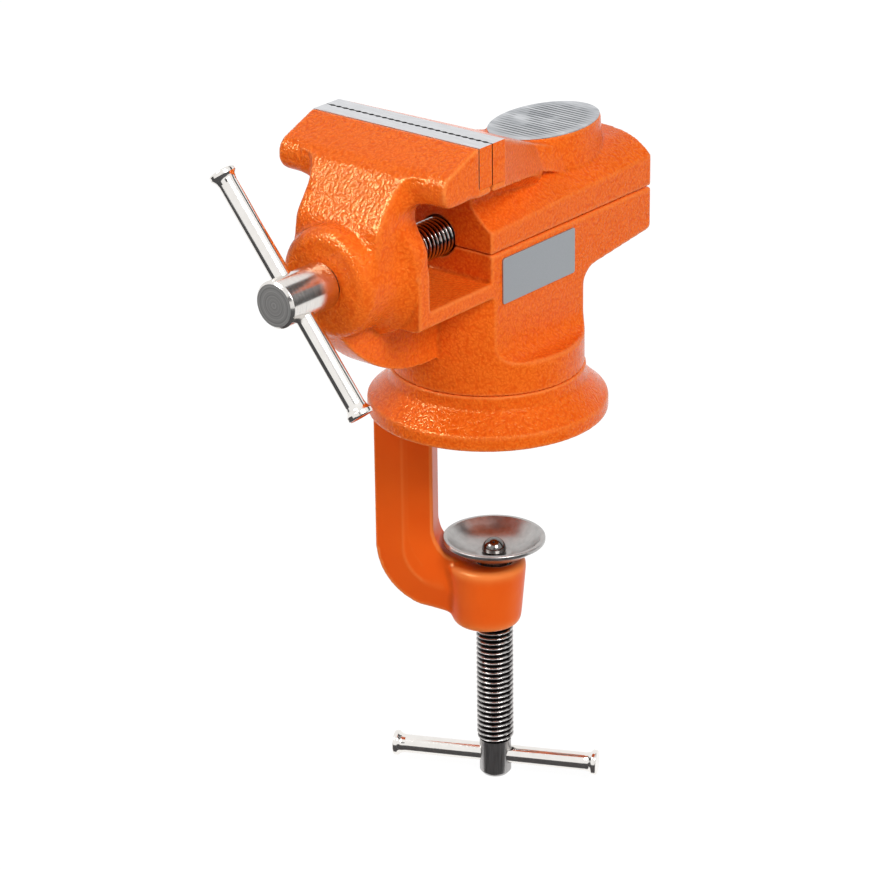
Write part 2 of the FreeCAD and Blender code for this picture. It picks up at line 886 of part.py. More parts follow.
def plate_screws(seat_y, facing):
    """Two countersunk screws with slotted heads."""
    screws = []
    axis = along_screw * facing
    rise = plate_screw_head_radius - plate_screw_radius
    head_height = plate_thickness - plate_screw_sink
    for point in plate_screw_points(seat_y):
        profile = [
            (0, head_height - plate_screw_length),
            (plate_screw_radius, head_height - plate_screw_length, 0.6),
            (plate_screw_radius, head_height - rise),
            (plate_screw_head_radius, head_height),
            (0, head_height),
        ]
        screw = turned(profile, point, axis)
        half_slot = plate_screw_slot / 2
        slot_low = seat_y + facing * (head_height - rise / 2)
        slot_high = seat_y + facing * (head_height + 1)
        slot = block(
            point.x - plate_screw_head_radius - 1,
            point.x + plate_screw_head_radius + 1,
            min(slot_low, slot_high),
            max(slot_low, slot_high),
            point.z - half_slot,
            point.z + half_slot,
        )
        screws.append(screw.cut(slot))
    return screws


def main_screw():
    """Turned screw: head with a cross hole, plain journal and thread."""
    thread_start = window_front_y + screw_head_gap + collar_length
    profile = [
        (0, head_front_y),
        (screw_head_radius, head_front_y, screw_head_edge),
        (screw_head_radius, head_rear_y, screw_head_edge),
        (screw_radius, head_rear_y),
    ]
    thread_length = screw_tip_y - screw_tip_run_out - thread_start
    profile += thread_corners(screw_radius, thread_start, thread_length)
    profile += [
        (screw_radius, screw_tip_y - thread_depth),
        (screw_radius - thread_depth, screw_tip_y),
        (0, screw_tip_y),
    ]
    screw = turned(profile, screw_axis_point, along_screw)
    cross_hole = rod(
        handle_rod_radius + running_gap,
        vector(0, handle_y, screw_z) - handle_direction * (screw_head_radius + 1),
        handle_direction,
        2 * screw_head_radius + 2,
    )
    return screw.cut([cross_hole, collar_pin_blank(press_gap)])


def collar_y():
    return window_front_y + screw_head_gap


def collar_pin_blank(gap):
    """Pin through the collar and the screw; gap widens it for the hole."""
    middle_y = collar_y() + collar_length / 2
    length = 2 * collar_radius - 1 + 4 * gap
    start = vector(0, middle_y, screw_z - length / 2)
    return rod(collar_pin_radius + gap, start, up, length)


def retaining_collar():
    profile = [
        (screw_radius + press_gap, 0),
        (collar_radius, 0, collar_edge),
        (collar_radius, collar_length, collar_edge),
        (screw_radius + press_gap, collar_length),
    ]
    collar = turned(profile, vector(0, collar_y(), screw_z), along_screw)
    through = rod(
        collar_pin_radius + press_gap,
        vector(0, collar_y() + collar_length / 2, screw_z - collar_radius - 1),
        up,
        2 * collar_radius + 2,
    )
    return collar.cut(through)


def square_nut():
    """Square nut in its pocket in the rear jaw; the bore clears the thread crests."""
    half = nut_size / 2
    start = nut_front_y + nut_gap
    nut = block(-half, half, start, start + nut_length, screw_z - half, screw_z + half)
    bore = rod(
        screw_radius + running_gap, vector(0, start - 1, screw_z), along_screw, nut_length + 2
    )
    return nut.cut(bore)


def handle_rod(length, middle, direction):
    """Straight rod with a thin spigot at each end for its cap."""
    half = length / 2 - cap_length
    profile = [
        (0, -half - cap_spigot_length),
        (cap_spigot_radius, -half - cap_spigot_length),
        (cap_spigot_radius, -half),
        (handle_rod_radius, -half),
        (handle_rod_radius, half),
        (cap_spigot_radius, half),
        (cap_spigot_radius, half + cap_spigot_length),
        (0, half + cap_spigot_length),
    ]
    return turned(profile, middle, direction)


def handle_caps(length, middle, direction):
    """Flared caps pressed on the two ends of a handle rod."""
    caps = []
    for side in (-1, 1):
        axis = direction * side
        start = middle + axis * (length / 2 - cap_length)
        profile = [
            (cap_spigot_radius + press_gap, 0),
            (handle_rod_radius, 0),
            (handle_rod_radius + cap_waist, cap_length * cap_waist_share, 1.5),
            (cap_radius, cap_length * cap_flare_share, 0.4),
            (cap_radius, cap_length, 0.6),
            (0, cap_length),
            (0, cap_spigot_length + 0.1),
            (cap_spigot_radius + press_gap, cap_spigot_length + 0.1),
        ]
        caps.append(turned(profile, start, axis))
    return caps


def bolt_head_top_z():
    return base_recess_depth - washer_thickness - spring_washer_thickness


def bolt_tip_z():
    return bolt_head_top_z() + bolt_length


def swivel_bolt():
    """Hexagon bolt that holds the vise on its base and lets it turn."""
    head_top = bolt_head_top_z()
    corner = bolt_head_across_flats / math.sqrt(3)
    points = []
    for step in range(7):
        angle = math.radians(60 * step)
        points.append(
            vector(corner * math.cos(angle), corner * math.sin(angle), head_top - bolt_head_height)
        )
    hexagon = Part.Face(Part.makePolygon(points)).extrude(vector(0, 0, bolt_head_height))
    shank = turned(
        [
            (0, head_top - 1),
            (bolt_radius, head_top - 1),
            (bolt_radius, bolt_tip_z() - 1),
            (bolt_radius - 1, bolt_tip_z()),
            (0, bolt_tip_z()),
        ],
        vector(0, 0, 0),
        up,
    )
    return hexagon.fuse(shank).removeSplitter()


def ring(radius, thickness, low_z):
    hole = bolt_radius + washer_room
    return rod(radius, vector(0, 0, low_z), up, thickness).cut(
        rod(hole, vector(0, 0, low_z - 1), up, thickness + 2)
    )


def flat_washer():
    return ring(washer_radius, washer_thickness, base_recess_depth - washer_thickness)


def spring_washer():
    """Split washer between the bolt head and the flat washer."""
    half_gap = spring_washer_gap / 2
    washer = ring(spring_washer_radius, spring_washer_thickness, bolt_head_top_z())
    split = block(
        0,
        spring_washer_radius + 1,
        -half_gap,
        half_gap,
        bolt_head_top_z() - 1,
        bolt_head_top_z() + spring_washer_thickness + 1,
    )
    return washer.cut(split)


def label_plate():
    """Bare label plate on the +X side of the body."""
    top = joint_z - label_below_joint
    rear_y = label_front_y + label_length
    return across(
        [
            (label_front_y, top - label_height, label_corner),
            (rear_y, top - label_height, label_corner),
            (rear_y, top, label_corner),
            (label_front_y, top, label_corner),
        ],
        body_half_width,
        body_half_width + label_thickness,
    )


def pad_hub_z():
    return pad_rim_z - pad_depth


def clamp_neck_top_z():
    return pad_hub_z() - pad_sheet - pad_play


def clamp_screw():
    """Clamp screw: neck under the pad, thread and a plain end for the handle."""
    top = clamp_neck_top_z()
    thread_top = top - clamp_neck_length
    thread_low = thread_top - clamp_thread_length
    low = thread_low - clamp_grip_length
    profile = [
        (0, low),
        (clamp_grip_radius, low, clamp_grip_edge),
        (clamp_grip_radius, thread_low),
        (clamp_screw_radius - 0.6, thread_low),
    ]
    profile += thread_corners(clamp_screw_radius, thread_low, clamp_thread_length)
    profile += [
        (clamp_screw_radius - 0.6, thread_top),
        (clamp_neck_radius, thread_top),
        (clamp_neck_radius, top, 0.5),
        (0, top),
    ]
    screw = turned(profile, clamp_axis_point, up)
    cross_hole = rod(
        handle_rod_radius + running_gap,
        clamp_handle_middle() - clamp_handle_direction * (clamp_grip_radius + 1),
        clamp_handle_direction,
        2 * clamp_grip_radius + 2,
    )
    rivet_hole = rod(
        rivet_stem_radius + running_gap,
        clamp_axis_point + up * (pad_hub_z() + pad_play - rivet_stem_length - 0.5),
        up,
        rivet_stem_length + 10,
    )
    return screw.cut([cross_hole, rivet_hole])


def clamp_handle_middle():
    thread_low = clamp_neck_top_z() - clamp_neck_length - clamp_thread_length
    return clamp_axis_point + up * (thread_low - clamp_rod_drop)


def swivel_pad():
    """Dished sheet pad with a rolled rim and a hole for the rivet."""
    hub = pad_hub_z()
    profile = [
        (pad_hole_radius, hub - pad_sheet),
        (pad_hub_radius, hub - pad_sheet, pad_hub_round),
        (pad_bowl_radius, hub - pad_sheet + pad_bowl_rise, pad_bowl_round),
        (pad_rim_radius - pad_rim_undercut, pad_rim_z - pad_sheet - 0.5),
        (pad_rim_radius, pad_rim_z - pad_rim_width, pad_rim_edge),
        (pad_rim_radius, pad_rim_z, pad_rim_edge),
        (pad_rim_radius - pad_rim_width, pad_rim_z, pad_rim_edge),
        (pad_bowl_radius, hub + pad_bowl_rise, pad_bowl_round),
        (pad_hub_radius, hub, pad_hub_round),
        (pad_hole_radius, hub),
    ]
    return turned(profile, clamp_axis_point, up)


def pad_rivet():
    """Dome-headed rivet that holds the pad on the tip of the screw."""
    head_low = pad_hub_z() + pad_play
    centre = clamp_axis_point + up * head_low
    dome = Part.makeSphere(rivet_dome_radius, centre)
    keep = rod(rivet_dome_radius + 1, centre, up, rivet_dome_radius + 1)
    stem = rod(
        rivet_stem_radius,
        clamp_axis_point + up * (head_low - rivet_stem_length),
        up,
        rivet_stem_length + 1,
    )
    return dome.common(keep).fuse(stem).removeSplitter()


def build():
    main_handle_middle = vector(0, handle_y, screw_z) - handle_direction * main_handle_offset
    clamp_middle = clamp_handle_middle()
    write("clamp_frame", [clamp_frame()])
    write("body_casting", [body_casting()])
    write("front_jaw_plate", [jaw_plate(front_seat_y, 1)])
    write("front_plate_screws", plate_screws(front_seat_y, 1))
    write("label_plate", [label_plate()])
    write("swivel_bolt", [swivel_bolt()])
    write("spring_washer", [spring_washer()])
    write("flat_washer", [flat_washer()])
    write("rear_jaw_casting", [rear_jaw_casting()])
    write("rear_jaw_plate", [jaw_plate(rear_seat_y, -1)])
    write("rear_plate_screws", plate_screws(rear_seat_y, -1))
    write("square_nut", [square_nut()])
    write("main_screw", [main_screw()])
    write("retaining_collar", [retaining_collar()])
    write("collar_pin", [collar_pin_blank(0)])
    write("main_handle_rod", [handle_rod(main_handle_length, main_handle_middle, handle_direction)])
    write("main_handle_caps", handle_caps(main_handle_length, main_handle_middle, handle_direction))
    write("pad_rivet", [pad_rivet()])
    write("swivel_pad", [swivel_pad()])
    write("clamp_screw", [clamp_screw()])
    write("clamp_handle_rod", [handle_rod(clamp_handle_length, clamp_middle, clamp_handle_direction)])
    write("clamp_handle_caps", handle_caps(clamp_handle_length, clamp_middle, clamp_handle_direction))


os.makedirs("parts", exist_ok=True)
build()
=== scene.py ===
# %% [markdown]
# # A mini bench vise in Blender
# The vise is two cast iron bodies in thick hammered enamel, a smoother cast clamp frame,
# bright turned screws and handles, and ground steel jaw plates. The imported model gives
# the shapes and the places of all pieces, in metres. This lesson adds soft cast edges,
# true thread helices and the finishes, then lights the vise as a studio would.

# %% Load the fixed frame
import math

import bmesh
import bpy
import numpy as np
from mathutils import Matrix, Vector


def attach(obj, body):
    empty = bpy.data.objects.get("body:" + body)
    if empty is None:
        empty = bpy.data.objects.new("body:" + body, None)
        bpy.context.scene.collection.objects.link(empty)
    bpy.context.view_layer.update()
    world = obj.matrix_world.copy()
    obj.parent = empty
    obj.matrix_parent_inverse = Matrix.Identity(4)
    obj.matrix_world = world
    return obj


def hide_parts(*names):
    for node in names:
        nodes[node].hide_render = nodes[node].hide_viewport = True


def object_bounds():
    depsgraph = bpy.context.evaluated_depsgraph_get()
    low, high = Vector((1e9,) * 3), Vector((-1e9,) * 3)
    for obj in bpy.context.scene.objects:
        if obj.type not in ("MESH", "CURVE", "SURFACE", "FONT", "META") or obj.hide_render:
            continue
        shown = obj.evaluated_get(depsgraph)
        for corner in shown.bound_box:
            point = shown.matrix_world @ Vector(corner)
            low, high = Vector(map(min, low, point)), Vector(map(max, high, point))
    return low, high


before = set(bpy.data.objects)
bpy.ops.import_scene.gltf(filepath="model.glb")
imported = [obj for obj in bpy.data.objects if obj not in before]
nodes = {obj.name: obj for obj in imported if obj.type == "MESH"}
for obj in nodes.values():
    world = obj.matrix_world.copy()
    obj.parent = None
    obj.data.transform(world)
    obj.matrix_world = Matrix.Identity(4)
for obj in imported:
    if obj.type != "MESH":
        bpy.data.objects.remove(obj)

cad_low, cad_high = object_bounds()
MM = 0.001
print("CAD box in mm:", [round(v / MM, 1) for v in (*cad_low, *cad_high)])

# %% [markdown]
# ## Camera
# The photograph was taken from the front right and a little above with a long lens, so
# the edges of the vise stay almost parallel. The camera could be aimed by hand, but
# three angles and a distance that were fitted to the vise's straight edges repeat it
# exactly. The point it looks at is given in the camera's own right and up directions.

# %% Camera
azimuth = math.radians(39.58)
elevation = math.radians(23.17)
roll = math.radians(-0.80)
distance = 1078.06 * MM
aim_right = -16.563 * MM
aim_up = -9.409 * MM

forward = Vector((
    -math.sin(azimuth) * math.cos(elevation),
    math.cos(azimuth) * math.cos(elevation),
    -math.sin(elevation),
))
level_right = Vector((math.cos(azimuth), math.sin(azimuth), 0))
level_up = level_right.cross(forward)
right = level_right * math.cos(roll) + level_up * math.sin(roll)
up = level_up * math.cos(roll) - level_right * math.sin(roll)

camera_data = bpy.data.cameras.new("camera")
camera_data.lens = 142.22
camera_data.sensor_width = 36.0
camera_data.clip_start = 0.05
camera = bpy.data.objects.new("camera", camera_data)
turn = Matrix((right, up, -forward)).transposed().to_4x4()
place = right * aim_right + up * aim_up - forward * distance
camera.matrix_world = Matrix.Translation(place) @ turn
bpy.context.scene.collection.objects.link(camera)
bpy.context.scene.camera = camera
print("camera at", [round(v, 4) for v in camera.location])

# %% [markdown]
# ## One helper for all the node trees
# A finish in Blender is a small network of nodes. Written out line by line it hides
# what matters, so one function adds a node, sets it up and joins its inputs. A value
# that is another node's output becomes a link, and any other value is simply set.


# %% Node and colour helpers
def colour(hex_value):
    """Turn an sRGB hex colour, as read off a picture, into the linear one Blender uses."""
    channels = [int(hex_value[i:i + 2], 16) / 255 for i in (1, 3, 5)]
    linear = [c / 12.92 if c <= 0.04045 else ((c + 0.055) / 1.055) ** 2.4 for c in channels]
    return (*linear, 1.0)


def add(tree, kind, inputs=None, **settings):
    node = tree.nodes.new(kind)
    for name, value in settings.items():
        setattr(node, name, value)
    for name, value in (inputs or {}).items():
        if isinstance(value, bpy.types.NodeSocket):
            tree.links.new(value, node.inputs[name])
        else:
            node.inputs[name].default_value = value
    return node


def new_finish(name):
    """An empty material, with its tree and the point being shaded, in the vise's frame."""
    finish = bpy.data.materials.new(name)
    finish.use_nodes = True
    finish.node_tree.nodes.clear()
    tree = finish.node_tree
    point = add(tree, "ShaderNodeTexCoord").outputs["Object"]
    return finish, tree, point


def close_finish(tree, shader):
    add(tree, "ShaderNodeOutputMaterial", {"Surface": shader.outputs[0]})


# %% [markdown]
# ## Painted light on edges and shade in hollows
# Rounded cast ridges catch a thin line of light and inner corners fall into shade, and both
# are painted into the enamel's colour: ridges a shade lighter, hollows a shade darker. The
# softened castings below carry a number for this at every point, called "edge": above zero
# on ridges, under zero in hollows. This function lets both enamels read it.


# %% Painted edge highlight and hollow shade
def painted_edge_light(tree, paint, full_at, most):
    """Paint a highlight where the edge number nears full_at and shade where it nears -full_at; most is the
    brightest ridge's share.
    """
    edge = add(tree, "ShaderNodeAttribute", attribute_name="edge").outputs["Fac"]
    ridge = add(
        tree,
        "ShaderNodeMapRange",
        {"Value": edge, "From Min": 0.15 * full_at, "From Max": full_at, "To Max": most},
    )
    hollow = add(
        tree,
        "ShaderNodeMapRange",
        {"Value": edge, "From Min": -0.15 * full_at, "From Max": -full_at, "To Max": 0.5},
    )
    # painted highlight on the ridges
    lighter = add(
        tree,
        "ShaderNodeMix",
        {0: ridge.outputs[0], 6: paint, 7: colour("#FF9E54")},
        data_type="RGBA",
    )
    # painted shade in the hollows
    darker = add(
        tree,
        "ShaderNodeMix",
        {0: hollow.outputs[0], 6: lighter.outputs[2], 7: colour("#A8380C")},
        data_type="RGBA",
    )
    return darker.outputs[2]


# %% [markdown]
# ## Hammered enamel
# The castings wear hammer finish enamel: a thick gloss paint that draws itself into
# small pebbles, which hide the rough sand casting. The pebbles are just under 1 mm
# across and run together like grain. They break every reflection into bright specks,
# which the orange lacquer tints to peach. The colour is also painted a little lighter on
# their crowns and darker in the creases between them, as painted light and shade on the
# pebbles. A Voronoi pattern with smoothed cells gives the pebbles, and noise bends them
# out of shape.


# %% Hammered enamel
PEBBLE = 0.85 * MM
PEACH = colour("#FFE39A")


def hammered_enamel(name, pebble_depth):
    finish, tree, point = new_finish(name)
    bend = add(tree, "ShaderNodeTexNoise", {"Vector": point, "Scale": 0.45 / PEBBLE, "Detail": 2.0})
    offset = add(
        tree, "ShaderNodeVectorMath", {0: bend.outputs["Color"], 1: (0.5, 0.5, 0.5)}, operation="SUBTRACT"
    )
    shift = add(
        tree, "ShaderNodeVectorMath", {0: offset.outputs[0], "Scale": 2.4 * PEBBLE}, operation="SCALE"
    )
    bent = add(tree, "ShaderNodeVectorMath", {0: point, 1: shift.outputs[0]}, operation="ADD")
    pebbles = add(
        tree,
        "ShaderNodeTexVoronoi",
        {"Vector": bent.outputs[0], "Scale": 1 / PEBBLE, "Smoothness": 0.7},
        feature="SMOOTH_F1",
    )
    drift = add(tree, "ShaderNodeTexNoise", {"Vector": point, "Scale": 0.08 / PEBBLE, "Detail": 1.0})
    swell = add(tree, "ShaderNodeMapRange", {"Value": drift.outputs["Fac"], "To Max": 0.5})
    height = add(
        tree, "ShaderNodeMath", {0: 1.0, 1: pebbles.outputs["Distance"]}, operation="SUBTRACT"
    )
    # painted light on the pebble crowns and painted shade in the creases
    crown_light_crease_shade = add(
        tree,
        "ShaderNodeMapRange",
        {
            "Value": pebbles.outputs["Distance"],
            "From Min": 0.15,
            "From Max": 0.75,
            "To Min": 1.0,
            "To Max": 0.0,
        },
    )
    paint = add(
        tree,
        "ShaderNodeMix",
        {0: crown_light_crease_shade.outputs[0], 6: colour("#E6560E"), 7: colour("#FC7A24")},
        data_type="RGBA",
    )
    tone = add(
        tree,
        "ShaderNodeMix",
        {0: swell.outputs[0], 6: paint.outputs[2], 7: colour("#F66A18")},
        data_type="RGBA",
    )
    relief = add(
        tree,
        "ShaderNodeBump",
        {"Height": height.outputs[0], "Distance": pebble_depth, "Strength": 1.0},
    )
    shader = add(
        tree,
        "ShaderNodeBsdfPrincipled",
        {
            "Base Color": painted_edge_light(tree, tone.outputs[2], 0.8, 0.4),
            "Roughness": 0.16,
            "IOR": 1.5,
            "Specular IOR Level": 0.13,
            "Specular Tint": PEACH,
            "Normal": relief.outputs[0],
        },
    )
    close_finish(tree, shader)
    return finish


body_enamel = hammered_enamel("hammered_enamel", 0.21 * MM)

# %% [markdown]
# ## Smooth enamel
# The arm of the clamp frame has the same paint over a finer casting, so it dried
# almost smooth, with a slow orange-peel waviness instead of pebbles. A low noise bump
# bends the reflections a little and leaves them whole.


# %% Smooth enamel
def smooth_enamel():
    finish, tree, point = new_finish("smooth_enamel")
    peel = add(tree, "ShaderNodeTexNoise", {"Vector": point, "Scale": 1 / (2.2 * MM), "Detail": 1.5})
    drift = add(tree, "ShaderNodeTexNoise", {"Vector": point, "Scale": 1 / (14 * MM), "Detail": 1.0})
    tone = add(
        tree,
        "ShaderNodeMix",
        {0: drift.outputs["Fac"], 6: colour("#EE5812"), 7: colour("#F66418")},
        data_type="RGBA",
    )
    relief = add(
        tree, "ShaderNodeBump", {"Height": peel.outputs["Fac"], "Distance": 0.10 * MM, "Strength": 0.5}
    )
    shader = add(
        tree,
        "ShaderNodeBsdfPrincipled",
        {
            "Base Color": painted_edge_light(tree, tone.outputs[2], 0.25, 0.5),
            "Roughness": 0.32,
            "IOR": 1.5,
            "Specular IOR Level": 0.13,
            "Specular Tint": PEACH,
            "Normal": relief.outputs[0],
        },
    )
    close_finish(tree, shader)
    return finish


arm_enamel = smooth_enamel()

# %% [markdown]
# ## Milled iron
# The anvil's top is bare iron, skimmed flat by a cutter that left shallow parallel
# ridges across it. Cut iron is greyer and duller than steel. The ridges are narrow dark
# lines about 1.8 mm apart, which is coarser than a real cutter's, so that they show.
# They are worn away near the rim and here and there inside it, where hammering has
# left soft grey streaks.


# %% Milled iron
CUTTER_STEP = 1.8 * MM
STREAKS_PER_METRE = (60.0, 260.0, 0.0)
ANVIL_Y = 28.8
ANVIL_HALF_LENGTH = 22.0
ANVIL_HALF_WIDTH = 14.6


def milled_iron():
    finish, tree, point = new_finish("milled_iron")
    parts = add(tree, "ShaderNodeSeparateXYZ", {0: point})
    phase = add(
        tree, "ShaderNodeMath", {0: parts.outputs["Y"], 1: 2 * math.pi / CUTTER_STEP}, operation="MULTIPLY"
    )
    wave = add(tree, "ShaderNodeMath", {0: phase.outputs[0]}, operation="SINE")
    groove = add(tree, "ShaderNodeMapRange", {"Value": wave.outputs[0], "From Min": 0.0, "From Max": 0.8})
    middle = add(
        tree, "ShaderNodeVectorMath", {0: point, 1: (0.0, ANVIL_Y * MM, 0.0)}, operation="SUBTRACT"
    )
    share = (1 / (ANVIL_HALF_WIDTH * MM), 1 / (ANVIL_HALF_LENGTH * MM), 0.0)
    oval = add(tree, "ShaderNodeVectorMath", {0: middle.outputs[0], 1: share}, operation="MULTIPLY")
    reach = add(tree, "ShaderNodeVectorMath", {0: oval.outputs[0]}, operation="LENGTH")
    inside = add(
        tree,
        "ShaderNodeMapRange",
        {"Value": reach.outputs["Value"], "From Min": 0.72, "From Max": 0.92, "To Min": 1.0, "To Max": 0.0},
    )
    wear = add(tree, "ShaderNodeTexNoise", {"Vector": point, "Scale": 1 / (11 * MM), "Detail": 2.0})
    fade = add(
        tree, "ShaderNodeMapRange", {"Value": wear.outputs["Fac"], "From Min": 0.30, "From Max": 0.44}
    )
    worn = add(tree, "ShaderNodeMath", {0: inside.outputs[0], 1: fade.outputs[0]}, operation="MULTIPLY")
    ridge = add(tree, "ShaderNodeMath", {0: groove.outputs[0], 1: worn.outputs[0]}, operation="MULTIPLY")
    grit = add(tree, "ShaderNodeTexNoise", {"Vector": point, "Scale": 1 / (0.5 * MM), "Detail": 3.0})
    along = add(
        tree, "ShaderNodeVectorMath", {0: point, 1: STREAKS_PER_METRE}, operation="MULTIPLY"
    )
    streak = add(tree, "ShaderNodeTexNoise", {"Vector": along.outputs[0], "Scale": 1.0, "Detail": 2.0})
    shade = add(
        tree, "ShaderNodeMapRange", {"Value": streak.outputs["Fac"], "From Min": 0.35, "From Max": 0.65}
    )
    bare = add(
        tree,
        "ShaderNodeMix",
        {0: shade.outputs[0], 6: colour("#ACAFB3"), 7: colour("#CFD1D4")},
        data_type="RGBA",
    )
    metal = add(
        tree,
        "ShaderNodeMix",
        {0: ridge.outputs[0], 6: bare.outputs[2], 7: colour("#464A50")},
        data_type="RGBA",
    )
    rough = add(
        tree, "ShaderNodeMapRange", {"Value": grit.outputs["Fac"], "To Min": 0.34, "To Max": 0.52}
    )
    relief = add(
        tree,
        "ShaderNodeBump",
        {"Height": ridge.outputs[0], "Distance": 0.08 * MM, "Strength": 0.8},
        invert=True,
    )
    shader = add(
        tree,
        "ShaderNodeBsdfPrincipled",
        {
            "Base Color": metal.outputs[2],
            "Metallic": 1.0,
            "Roughness": rough.outputs[0],
            "Normal": relief.outputs[0],
        },
    )
    close_finish(tree, shader)
    return finish


anvil_iron = milled_iron()

# %% [markdown]
# ## Turned, ground and rolled steel
# The bright pieces differ only in colour, gloss and the direction of their fine
# scratches, so one function makes them all. Scratches run along the stroke of the tool
# that made them, and stretching a noise pattern along that direction draws them.


# %% Worked steel
def worked_steel(name, light, dark, rough_low, rough_high, stretch, depth, centre=None):
    """Metal with scratches; stretch is the scratch size in mm along X, Y and Z.

    With a centre, in mm, the scratches are rings about the Y axis through it."""
    finish, tree, point = new_finish(name)
    if centre:
        moved = add(
            tree,
            "ShaderNodeVectorMath",
            {0: point, 1: tuple(v * MM for v in centre)},
            operation="SUBTRACT",
        )
        flat = add(
            tree, "ShaderNodeVectorMath", {0: moved.outputs[0], 1: (1.0, 0.0, 1.0)}, operation="MULTIPLY"
        )
        radius = add(tree, "ShaderNodeVectorMath", {0: flat.outputs[0]}, operation="LENGTH")
        point = add(tree, "ShaderNodeCombineXYZ", {"X": radius.outputs["Value"]}).outputs[0]
    size = tuple(1 / (s * MM) for s in stretch)
    scaled = add(tree, "ShaderNodeVectorMath", {0: point, 1: size}, operation="MULTIPLY")
    scratches = add(tree, "ShaderNodeTexNoise", {"Vector": scaled.outputs[0], "Scale": 1.0, "Detail": 4.0})
    metal = add(
        tree,
        "ShaderNodeMix",
        {0: scratches.outputs["Fac"], 6: colour(dark), 7: colour(light)},
        data_type="RGBA",
    )
    rough = add(
        tree,
        "ShaderNodeMapRange",
        {"Value": scratches.outputs["Fac"], "To Min": rough_low, "To Max": rough_high},
    )
    relief = add(
        tree,
        "ShaderNodeBump",
        {"Height": scratches.outputs["Fac"], "Distance": depth * MM, "Strength": 0.5},
    )
    shader = add(
        tree,
        "ShaderNodeBsdfPrincipled",
        {
            "Base Color": metal.outputs[2],
            "Metallic": 1.0,
            "Roughness": rough.outputs[0],
            "Normal": relief.outputs[0],
        },
    )
    close_finish(tree, shader)
    return finish


SCREW_Z = 63.2
plate_steel = worked_steel("ground_steel", "#EEEEF0", "#BCBEC1", 0.30, 0.45, (6, 0.5, 0.5), 0.015)
bright_nickel = worked_steel("bright_nickel", "#F6F3EF", "#E6E2DD", 0.08, 0.16, (3, 3, 3), 0.004)
head_face_steel = worked_steel(
    "turned_face", "#FFFDFA", "#5E5B5A", 0.30, 0.48, (0.5, 1, 1), 0.08, (0, 0, SCREW_Z)
)
grip_steel = worked_steel("drawn_steel", "#CFCDCC", "#7C7978", 0.24, 0.40, (0.5, 0.5, 8), 0.015)
barrel_nickel = worked_steel("turned_nickel", "#F6F3EF", "#D2CDC8", 0.12, 0.24, (4, 0.4, 4), 0.006)
pad_metal = worked_steel("pressed_steel", "#C9C7C5", "#9E9B99", 0.24, 0.38, (2, 2, 2), 0.01)
ball_metal = worked_steel("polished_ball", "#8E8B89", "#5B5856", 0.08, 0.16, (2, 2, 2), 0.004)
zinc_metal = worked_steel("zinc_plate", "#C4C6C8", "#A2A5A8", 0.25, 0.4, (1, 1, 1), 0.01)
inner_steel = worked_steel("plain_steel", "#8F8E8E", "#676665", 0.3, 0.45, (0.6, 0.6, 0.6), 0.01)
# painted shade: near-black steel for the gripping faces in the gap between the jaws
gap_shade_steel = worked_steel("gap_shade_steel", "#403D3B", "#1B1918", 0.35, 0.6, (0.8, 0.8, 0.8), 0.02)
label_metal = worked_steel("satin_label", "#B6BABE", "#A2A6AA", 0.42, 0.55, (8, 0.3, 0.3), 0.006)

# %% [markdown]
# ## Building pieces from points
# Blender keeps a shape as points and faces, and from_pydata takes both as plain lists.
# Turned pieces come from one outline that is spun around an axis. Corners of that
# outline are rounded first, because no turned edge is ever perfectly sharp and the
# thin highlight along it is what makes metal look real.


# %% Mesh helpers
def new_piece(name, points, faces, finish, smooth_angle=35):
    mesh = bpy.data.meshes.new(name)
    mesh.from_pydata([tuple(p) for p in points], [], faces)
    mesh.validate()
    piece = bpy.data.objects.new(name, mesh)
    bpy.context.scene.collection.objects.link(piece)
    mesh.polygons.foreach_set("use_smooth", [True] * len(mesh.polygons))
    mesh.set_sharp_from_angle(angle=math.radians(smooth_angle))
    mesh.materials.append(finish)
    return piece


def rounded(corners, steps=5):
    """Outline through corners (radius, height) or (radius, height, rounding), in mm."""
    outline = []
    for index, corner in enumerate(corners):
        here = Vector(corner[:2])
        if len(corner) < 3 or index in (0, len(corners) - 1):
            outline.append(here)
            continue
        back = (Vector(corners[index - 1][:2]) - here).normalized()
        ahead = (Vector(corners[index + 1][:2]) - here).normalized()
        reach = corner[2] / math.tan(back.angle(ahead) / 2)
        start = here + back * reach
        end = here + ahead * reach
        for step in range(steps + 1):
            share = step / steps
            outline.append(
                start * (1 - share) ** 2 + here * 2 * share * (1 - share) + end * share ** 2
            )
    return outline


def frame_along(direction):
    """Two directions square to an axis, which with it make a right-handed frame."""
    axis = Vector(direction).normalized()
    side = axis.orthogonal().normalized()
    return axis, side, axis.cross(side)


def turned(name, corners, origin, direction, finish, around=96):
    axis, side, other = frame_along(direction)
    start = Vector(origin)
    outline = rounded(corners)
    points = []
    faces = []
    for radius, height in outline:
        for step in range(around):
            angle = 2 * math.pi * step / around
            out = side * math.cos(angle) + other * math.sin(angle)
            points.append((start + axis * height + out * radius) * MM)
    for row in range(len(outline) - 1):
        for step in range(around):
            a = row * around + step
            b = row * around + (step + 1) % around
            faces.append((a, b, b + around, a + around))
    piece = new_piece(name, points, faces, finish)
    work = bmesh.new()
    work.from_mesh(piece.data)
    bmesh.ops.remove_doubles(work, verts=work.verts, dist=1e-7)
    bmesh.ops.recalc_face_normals(work, faces=work.faces)
    work.to_mesh(piece.data)
    work.free()
    piece.data.set_sharp_from_angle(angle=math.radians(35))
    return piece


# %% [markdown]
# ## Soft castings
# Sand castings have no sharp edges: the mould crumbles a little and the thick enamel
# rounds off the rest. Bevels by hand would take hours on such crossing shapes. A voxel
# remesh rebuilds each casting in even half-millimetre steps. Then every point is moved
# part of the way to the middle of its neighbours, a few times over, which rounds the
# edges by up to about a millimetre and fills the inner corners. Where the real casting flows
# more softly, at the neck of the jaw and around the clamp's boss, the points take part
# in many more passes, and those at the swivel's thin seam in hardly any.


